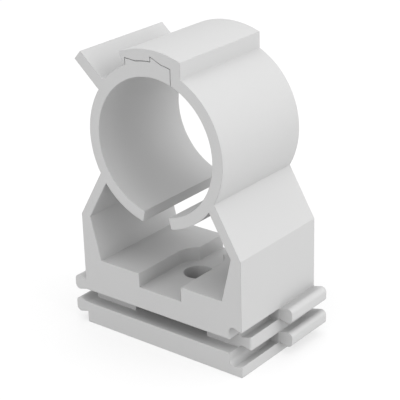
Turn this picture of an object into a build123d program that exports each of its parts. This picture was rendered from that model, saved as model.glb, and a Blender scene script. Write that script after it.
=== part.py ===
from build123d import *
import math
import os

# Pipe clip, one injection moulding, in millimetres.
# The pipe axis runs along Y, the front face looks to -Y and the clip stands on z = 0.

# Pipe ring
bore_radius = 11.3
ring_wall = 1.9
clip_depth = 20.0
bore_height = 34.9
jaw_gap_half_angle = 12.5

# Legs between the ring and the base
base_width = 32.45
knee_height = 20.05
slope_angle = 59.8
slope_wall = 1.65
upright_knee_wall = 1.85
upright_foot_wall = 3.75

# Base: plate below, slab above, two webs between them
plate_thickness = 3.7
base_gap_height = 2.45
slab_thickness = 6.25
web_set_back = 2.4
web_spacing = 15.0
web_corner_radius = 0.3

# Screw seat in the slab
screw_hole_diameter = 5.0
head_recess_diameter = 8.7
recess_depth = 2.5
back_channel_width = 5.0

# Latch on top of the ring
hook_outer_radius = 15.65
hook_root_x = 5.65
hook_tip_angle = 23.2
seam_gap = 0.11
tongue_radius = 13.72
tooth_tip_radius = 14.48
tongue_tip_x = 3.7
first_ramp_x = 2.05
first_tooth_x = -0.02
second_ramp_x = -2.95
second_tooth_x = -5.04
notch_floor_radius = 13.45

# Release tab on the left jaw
tab_angle = 138.1
tab_reach = 19.45
tab_thickness = 1.9
tab_face_offset = 0.25
tab_root_radius = 0.6

# Side links: dovetail beads on one half of each side, matching grooves on the other half
bead_neck_height = 1.75
bead_head_height = 3.0
bead_reach = 2.45
bead_corner_radius = 0.8
bead_end_gap = 0.1
link_clearance = 0.05

# Sizes that follow from the ones above
ring_radius = bore_radius + ring_wall
half_width = base_width / 2
half_depth = clip_depth / 2
gap_top = plate_thickness + base_gap_height
floor_height = gap_top + slab_thickness
# How far a cutting shape runs past the surface it opens
overrun = 1.0


def ring_point(radius, angle):
    """Front-view point on a circle about the bore axis, the angle counted from +X."""
    turn = math.radians(angle)
    return (radius * math.cos(turn), bore_height + radius * math.sin(turn))


def crest_point(radius, x):
    """Front-view point with this x on the upper half of a circle about the bore axis."""
    return (x, bore_height + math.sqrt(radius**2 - x**2))


def crest_arc(radius, start_x, end_x):
    middle_x = (start_x + end_x) / 2
    start = crest_point(radius, start_x)
    return ThreePointArc(start, crest_point(radius, middle_x), crest_point(radius, end_x))


def disc(radius):
    return Pos(0, bore_height) * Circle(radius)


def along_depth(face, front=-half_depth, back=half_depth):
    """Carries a front-view face through the clip from y = front to y = back."""
    return extrude(Plane.XZ.offset(-back) * face, amount=back - front)


def ring_face():
    """The ring, open at the bottom between the two jaw ends."""
    reach = 2 * ring_radius
    jaw_gap = Polygon(
        (0, bore_height),
        ring_point(reach, 270 - jaw_gap_half_angle),
        ring_point(reach, 270 + jaw_gap_half_angle),
        align=None,
    )
    return disc(ring_radius) - disc(bore_radius) - jaw_gap


def leg_face():
    """The right leg: an upright wall and a thin sloping wall that runs into the ring."""
    slope = math.radians(slope_angle)
    rise = math.tan(slope)
    level_wall = slope_wall / math.sin(slope)
    crown_height = bore_height - bore_radius / 2
    crown_x = half_width - (crown_height - knee_height) / rise
    inner_knee_height = knee_height + (upright_knee_wall - level_wall) * rise
    foot_x = half_width - upright_foot_wall
    foot_height = floor_height - overrun
    leg = Polygon(
        (foot_x, foot_height),
        (half_width, foot_height),
        (half_width, knee_height),
        (crown_x, crown_height),
        (crown_x - level_wall, crown_height),
        (half_width - upright_knee_wall, inner_knee_height),
        (foot_x, floor_height),
        align=None,
    )
    return leg - disc(bore_radius)


def base_face():
    return Pos(0, floor_height / 2) * Rectangle(base_width, floor_height)


def latch_sector():
    """The part of the front view that the latch takes up, from the hook's tip to its root."""
    reach = 2 * hook_outer_radius
    return Polygon(
        (0, bore_height),
        (hook_root_x, bore_height),
        (hook_root_x, bore_height + reach),
        ring_point(reach, 90 + hook_tip_angle),
        align=None,
    )


def hook_face():
    return latch_sector() & (disc(hook_outer_radius) - disc(bore_radius))


def left_jaw_outline():
    """The left jaw from the tab to the tip of its toothed tongue, as one filled shape."""
    tab_side = ring_point(notch_floor_radius, tab_angle)
    first_tooth = crest_point(tooth_tip_radius, first_tooth_x)
    second_tooth = crest_point(tooth_tip_radius, second_tooth_x)
    outline = [
        Line((tongue_tip_x, bore_height), crest_point(tongue_radius, tongue_tip_x)),
        crest_arc(tongue_radius, tongue_tip_x, first_ramp_x),
        Line(crest_point(tongue_radius, first_ramp_x), first_tooth),
        Line(first_tooth, crest_point(tongue_radius, first_tooth_x)),
        crest_arc(tongue_radius, first_tooth_x, second_ramp_x),
        Line(crest_point(tongue_radius, second_ramp_x), second_tooth),
        Line(second_tooth, crest_point(notch_floor_radius, second_tooth_x)),
        crest_arc(notch_floor_radius, second_tooth_x, tab_side[0]),
        Line(tab_side, (0, bore_height)),
        Line((0, bore_height), (tongue_tip_x, bore_height)),
    ]
    return make_face(outline)


def seam_face(jaw):
    """The thin slit between the left jaw and the hook that holds it."""
    return (offset(jaw, seam_gap, kind=Kind.INTERSECTION) - jaw) & latch_sector()


def tab_face():
    """The flat release tab that points up and out from the left jaw."""
    root = bore_radius + ring_wall / 2
    length = tab_reach - root
    across = tab_thickness / 2 - tab_face_offset
    turned = Pos(0, bore_height) * Rot(0, 0, tab_angle)
    return turned * Pos(root + length / 2, across) * Rectangle(length, tab_thickness)


def jaws_face():
    """The ring with its hook and tab, the tab rounded into the notch floor, and the seam cut."""
    jaw = left_jaw_outline()
    face = ring_face() + hook_face() + tab_face() + (jaw - disc(bore_radius))
    root_angle = tab_angle - math.degrees(math.asin(tab_face_offset / notch_floor_radius))
    root = face.vertices().sort_by_distance(ring_point(notch_floor_radius, root_angle))[0]
    return fillet(root, tab_root_radius) - seam_face(jaw)


def bead_face(height):
    """Section of one bead on the left side, its neck centred at this height."""
    side = -half_width
    tip = side - bead_reach
    neck = bead_neck_height / 2
    head = bead_head_height / 2
    section = Polygon(
        (side + overrun, height - neck),
        (side + overrun, height + neck),
        (side, height + neck),
        (tip, height + head),
        (tip, height - head),
        (side, height - neck),
        align=None,
    )
    corners = section.vertices().group_by(Axis.X)[0]
    return fillet(corners, bead_corner_radius)


def groove_face(section):
    """Section of the groove in the right side that takes the same bead of the next clip."""
    return Pos(base_width, 0) * offset(section, link_clearance, kind=Kind.INTERSECTION)


def links():
    """Beads and grooves of one half of the clip, for the lower and the upper level."""
    neck = bead_neck_height / 2
    sections = [bead_face(plate_thickness - neck), bead_face(gap_top + neck)]
    beads = [along_depth(section, -half_depth, -bead_end_gap) for section in sections]
    grooves = [along_depth(groove_face(section), -half_depth, 0) for section in sections]
    return beads, grooves


def web_gap():
    """The open layer between plate and slab, around the two webs that join them."""
    web_width = half_width - web_spacing / 2
    web = Pos(half_width - web_width / 2, 0) * Rectangle(web_width, clip_depth - 2 * web_set_back)
    web = fillet(web.vertices().group_by(Axis.X)[-1], web_corner_radius)
    layer = Rectangle(base_width + 2 * overrun, clip_depth + 2 * overrun)
    layer = layer - web - mirror(web, Plane.YZ)
    return extrude(Pos(0, 0, plate_thickness) * layer, amount=base_gap_height)


def screw_seat():
    """Head recess open to the front, the narrow channel behind it and the hole below."""
    run = half_depth + overrun
    recess = Circle(head_recess_diameter / 2)
    recess = recess + Pos(0, -run / 2) * Rectangle(head_recess_diameter, run)
    recess = recess + Pos(0, run / 2) * Rectangle(back_channel_width, run)
    seat = extrude(Pos(0, 0, floor_height - recess_depth) * recess, amount=recess_depth + overrun)
    hole = extrude(Pos(0, 0, -overrun) * Circle(screw_hole_diameter / 2), amount=floor_height)
    return seat + hole


def pipe_clip():
    leg = leg_face()
    front_view = base_face() + leg + mirror(leg, Plane.YZ) + jaws_face()
    clip = along_depth(front_view) - web_gap() - screw_seat()
    half_turn = Rot(0, 0, 180)
    beads, grooves = links()
    for bead in beads:
        clip = clip + bead + half_turn * bead
    for cut in grooves:
        clip = clip - cut - half_turn * cut
    return clip


os.makedirs("parts", exist_ok=True)
export_step(pipe_clip(), "parts/pipe_clip.step")
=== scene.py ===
import math
import bpy
from mathutils import Matrix, Vector


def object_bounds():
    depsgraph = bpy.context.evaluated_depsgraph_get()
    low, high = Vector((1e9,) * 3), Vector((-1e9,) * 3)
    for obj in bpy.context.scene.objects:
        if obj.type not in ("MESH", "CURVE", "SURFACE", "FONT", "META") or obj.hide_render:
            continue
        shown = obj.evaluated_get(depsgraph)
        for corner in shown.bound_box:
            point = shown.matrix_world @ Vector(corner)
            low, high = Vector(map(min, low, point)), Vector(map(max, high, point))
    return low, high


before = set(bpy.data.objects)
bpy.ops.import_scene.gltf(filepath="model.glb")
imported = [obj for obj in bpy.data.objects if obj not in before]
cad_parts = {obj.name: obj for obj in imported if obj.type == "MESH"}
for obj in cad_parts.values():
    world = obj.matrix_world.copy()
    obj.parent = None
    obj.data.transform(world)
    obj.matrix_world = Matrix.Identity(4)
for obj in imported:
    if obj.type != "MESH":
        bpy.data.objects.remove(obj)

cadBox = [list(corner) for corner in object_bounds()]
scene = bpy.context.scene
scene.view_settings.view_transform = "Standard"
print("frame loaded")


def addNode(tree, kind, **inputs):
    node = tree.nodes.new(kind)
    for name, value in inputs.items():
        node.inputs[name].default_value = value
    return node


def compute(tree, operation, first, second):
    node = tree.nodes.new("ShaderNodeMath")
    node.operation = operation
    tree.links.new(first, node.inputs[0])
    tree.links.new(second, node.inputs[1])
    return node.outputs["Value"]


def spread(tree, value, fromRange, toRange=(0.0, 1.0)):
    # carries a value from one range to another and stops it at the ends
    node = tree.nodes.new("ShaderNodeMapRange")
    for name, end in zip(("From Min", "From Max", "To Min", "To Max"), fromRange + toRange):
        node.inputs[name].default_value = end
    tree.links.new(value, node.inputs["Value"])
    return node.outputs["Result"]


def mixTones(tree, factor, first, second):
    # a tone is a colour, or the output that brings one
    mix = tree.nodes.new("ShaderNodeMix")
    mix.data_type = "RGBA"
    tree.links.new(factor, mix.inputs["Factor"])
    for name, tone in (("A", first), ("B", second)):
        if isinstance(tone, tuple):
            mix.inputs[name].default_value = tone
        else:
            tree.links.new(tone, mix.inputs[name])
    return mix.outputs["Result"]


def mixShaders(tree, factor, first, second, target):
    blend = tree.nodes.new("ShaderNodeMixShader")
    tree.links.new(factor, blend.inputs["Fac"])
    tree.links.new(first, blend.inputs[1])
    tree.links.new(second, blend.inputs[2])
    tree.links.new(blend.outputs["Shader"], target)


# faint clouding, and the fine grain of a spark-eroded tool; each material sets the scales
surfaceNoise = {
    "Cloud": {"Detail": 3.0, "Roughness": 0.55, "Distortion": 0.4},
    "Grain": {"Detail": 2.0, "Roughness": 0.5},
}


def makeSurfaceGroup(noises):
    group = bpy.data.node_groups.new("mouldedSurface", "ShaderNodeTree")
    for name in noises:
        group.interface.new_socket(name=name + " Scale", in_out="INPUT", socket_type="NodeSocketFloat")
        group.interface.new_socket(name=name, in_out="OUTPUT", socket_type="NodeSocketFloat")
    groupInput = group.nodes.new("NodeGroupInput")
    groupOutput = group.nodes.new("NodeGroupOutput")
    place = group.nodes.new("ShaderNodeTexCoord")
    for name, settings in noises.items():
        noise = addNode(group, "ShaderNodeTexNoise", **settings)
        group.links.new(place.outputs["Object"], noise.inputs["Vector"])
        group.links.new(groupInput.outputs[name + " Scale"], noise.inputs["Scale"])
        group.links.new(noise.outputs["Fac"], groupOutput.inputs[name])
    return group


# light grey moulding compound, as it comes off the tool; lengths in metres
plastic = {
    "base": (0.56, 0.56, 0.56, 1.0),
    "shade": (0.54, 0.54, 0.54, 1.0),  # thicker or slower filled places
    "cloudScale": 70.0,  # per metre
    "grainScale": 5200.0,
    "grainHeight": 0.000012,
    "grainStrength": 0.35,
    "roughness": (0.46, 0.58),  # from shade to base
    "refraction": 1.46,
    "gloss": 0.32,
    "paintedShadeTint": (0.48, 0.48, 0.48, 1.0),  # painted shade in the narrow places
    "paintedShadeReach": 0.004,
    "paintedShadeSamples": 8,
    "openness": (0.9, 0.6),  # from unshaded to full painted shade
    "paintedHighlightTint": (0.60, 0.60, 0.60, 1.0),  # painted highlight on the corners
    "edgeRadius": 0.00022,
    "edgeSamples": 6,
    "edgeTurn": (0.995, 0.88),  # cosine between the flat and the rounded normal
    "paintedHighlightShare": 0.6,
}


def makePlastic(look, surfaceGroup):
    material = bpy.data.materials.new("lightGreyMoulding")
    material.use_nodes = True
    tree = material.node_tree
    shader = tree.nodes["Principled BSDF"]
    link = tree.links.new
    shader.inputs["IOR"].default_value = look["refraction"]
    shader.inputs["Specular IOR Level"].default_value = look["gloss"]
    surface = tree.nodes.new("ShaderNodeGroup")
    surface.node_tree = surfaceGroup
    surface.inputs["Cloud Scale"].default_value = look["cloudScale"]
    surface.inputs["Grain Scale"].default_value = look["grainScale"]

    # painted shade: ambient occlusion darkens the colour in crevices, corners and recesses
    openness = addNode(tree, "ShaderNodeAmbientOcclusion", Distance=look["paintedShadeReach"])
    openness.samples = look["paintedShadeSamples"]
    openness.only_local = True
    paintedShadeMask = spread(tree, openness.outputs["AO"], look["openness"])

    # painted highlight: corners are lightened in colour where the rounded normal leaves the flat one;
    # the rounded normal also feeds the bump
    bevel = addNode(tree, "ShaderNodeBevel", Radius=look["edgeRadius"])
    bevel.samples = look["edgeSamples"]
    flat = tree.nodes.new("ShaderNodeNewGeometry")
    turn = tree.nodes.new("ShaderNodeVectorMath")
    turn.operation = "DOT_PRODUCT"
    link(bevel.outputs["Normal"], turn.inputs[0])
    link(flat.outputs["Normal"], turn.inputs[1])
    paintedHighlightMask = spread(tree, turn.outputs["Value"], look["edgeTurn"], (0.0, look["paintedHighlightShare"]))

    tone = mixTones(tree, surface.outputs["Cloud"], look["shade"], look["base"])
    # painted shade laid into the colour
    tone = mixTones(tree, paintedShadeMask, tone, look["paintedShadeTint"])
    # painted highlight laid into the colour
    tone = mixTones(tree, paintedHighlightMask, tone, look["paintedHighlightTint"])
    link(tone, shader.inputs["Base Color"])
    rough = spread(tree, surface.outputs["Cloud"], (0.0, 1.0), look["roughness"])
    link(rough, shader.inputs["Roughness"])

    bump = addNode(
        tree, "ShaderNodeBump", Strength=look["grainStrength"], Distance=look["grainHeight"]
    )
    link(surface.outputs["Grain"], bump.inputs["Height"])
    link(bevel.outputs["Normal"], bump.inputs["Normal"])
    link(bump.outputs["Normal"], shader.inputs["Normal"])
    return material


# what the backdrop rays see; a strength of one is white
plainWhite = {"Color": (1.0, 1.0, 1.0, 1.0), "Strength": 1.0}


def backdropRays(tree):
    # straight rays of the camera and those by way of gloss or glass
    path = tree.nodes.new("ShaderNodeLightPath")
    found = path.outputs["Is Camera Ray"]
    for name in ("Is Glossy Ray", "Is Transmission Ray"):
        found = compute(tree, "MAXIMUM", found, path.outputs[name])
    return found


floorLook = {
    "colour": (0.93, 0.93, 0.93, 1.0),
    "bounce": (0.60, 0.60, 0.60, 1.0),  # what the clip gets back from it
    "roughness": 0.9,
    "gloss": 0.1,
    "whiteShare": (0.62, 1.0),  # plain white mixed in for the backdrop rays, near and far
    "whiteReach": (0.10, 0.45),  # from the clip, in metres: the shadow falls inside it
    "size": 6.0,
}


def makeFloorMaterial(look):
    material = bpy.data.materials.new("paleFloor")
    material.use_nodes = True
    tree = material.node_tree
    shader = tree.nodes["Principled BSDF"]
    shader.inputs["Roughness"].default_value = look["roughness"]
    shader.inputs["Specular IOR Level"].default_value = look["gloss"]
    backdrop = backdropRays(tree)
    tone = mixTones(tree, backdrop, look["bounce"], look["colour"])
    tree.links.new(tone, shader.inputs["Base Color"])
    spot = tree.nodes.new("ShaderNodeTexCoord")
    distance = tree.nodes.new("ShaderNodeVectorMath")
    distance.operation = "LENGTH"
    tree.links.new(spot.outputs["Object"], distance.inputs[0])
    whiteShare = spread(tree, distance.outputs["Value"], look["whiteReach"], look["whiteShare"])
    factor = compute(tree, "MULTIPLY", backdrop, whiteShare)
    white = addNode(tree, "ShaderNodeEmission", **plainWhite)
    target = tree.nodes["Material Output"].inputs["Surface"]
    mixShaders(tree, factor, shader.outputs["BSDF"], white.outputs["Emission"], target)
    return material


def layFloor(look, height):
    bpy.ops.object.select_all(action="DESELECT")
    bpy.ops.mesh.primitive_plane_add(size=look["size"], location=(0, 0, height))
    floor = bpy.context.active_object
    floor.name = "floor"
    floor.data.materials.append(makeFloorMaterial(look))


studio = {
    "sky": (0.74, 0.74, 0.74, 1.0),
    "skyStrength": 1.0,
    "lamps": [
        # name, place in metres, size in metres, watts
        ("topSoftbox", (0.0, 0.0, 0.90), 1.2, 4.0),
        ("rightSoftbox", (1.0, 0.10, 0.35), 0.8, 3.9),
        ("backSoftbox", (0.75, 0.65, 0.40), 0.8, 1.5),
        ("frontSoftbox", (0.0, -1.0, 0.35), 0.8, 2.5),
    ],
}


def makeSky(look):
    # soft studio grey all round, plain white where the camera looks past the floor
    world = bpy.data.worlds.new("studioSky")
    world.use_nodes = True
    scene.world = world
    tree = world.node_tree
    soft = tree.nodes["Background"]
    soft.inputs["Color"].default_value = look["sky"]
    soft.inputs["Strength"].default_value = look["skyStrength"]
    white = addNode(tree, "ShaderNodeBackground", **plainWhite)
    target = tree.nodes["World Output"].inputs["Surface"]
    backdrop = backdropRays(tree)
    mixShaders(tree, backdrop, soft.outputs["Background"], white.outputs["Background"], target)


def addLamp(name, place, size, watts, target):
    lamp = bpy.data.lights.new(name, "AREA")
    lamp.size = size
    lamp.energy = watts
    lampObject = bpy.data.objects.new(name, lamp)
    lampObject.location = place
    aim = Vector(target) - Vector(place)
    lampObject.rotation_euler = aim.to_track_quat("-Z", "Y").to_euler()
    scene.collection.objects.link(lampObject)


# fitted to the straight edges and corners of the clip; degrees and metres
shot = {
    "azimuth": 38.785,
    "elevation": 23.04,
    "roll": -1.63,
    "focal": 1321.5,  # in pixels of the photograph
    "imageWidth": 400,
    "sensor": 36.0,  # in millimetres
    "aim": (0.0, 0.0, 0.0347),
    "asideOfAim": (-0.000878, 0.010897),  # the aim's place right of and above the picture's middle
    "distance": 0.20942,
    "clipStart": 0.01,
    "clipEnd": 20.0,
}


def placeCamera(view):
    azimuth, elevation, roll = (math.radians(view[name]) for name in ("azimuth", "elevation", "roll"))
    back = Vector((
        math.sin(azimuth) * math.cos(elevation),
        -math.cos(azimuth) * math.cos(elevation),
        math.sin(elevation),
    ))
    level = Vector((math.cos(azimuth), math.sin(azimuth), 0))
    steep = back.cross(level)
    right = math.cos(roll) * level + math.sin(roll) * steep
    up = -math.sin(roll) * level + math.cos(roll) * steep
    aside, above = view["asideOfAim"]
    place = Vector(view["aim"]) - aside * right - above * up + view["distance"] * back
    turn = Matrix((right, up, back)).transposed().to_4x4()
    camera = bpy.data.cameras.new("camera")
    camera.sensor_width = view["sensor"]
    camera.lens = view["focal"] / view["imageWidth"] * view["sensor"]
    camera.clip_start = view["clipStart"]
    camera.clip_end = view["clipEnd"]
    cameraObject = bpy.data.objects.new("camera", camera)
    cameraObject.matrix_world = Matrix.Translation(place) @ turn
    scene.collection.objects.link(cameraObject)
    scene.camera = cameraObject


moulding = makePlastic(plastic, makeSurfaceGroup(surfaceNoise))
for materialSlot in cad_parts["pipe_clip"].material_slots:
    materialSlot.material = moulding
print("plastic made")

layFloor(floorLook, cadBox[0][2])
print("floor laid")

makeSky(studio)
for name, place, size, watts in studio["lamps"]:
    addLamp(name, place, size, watts, shot["aim"])
print("studio lit")

placeCamera(shot)
print("camera placed")
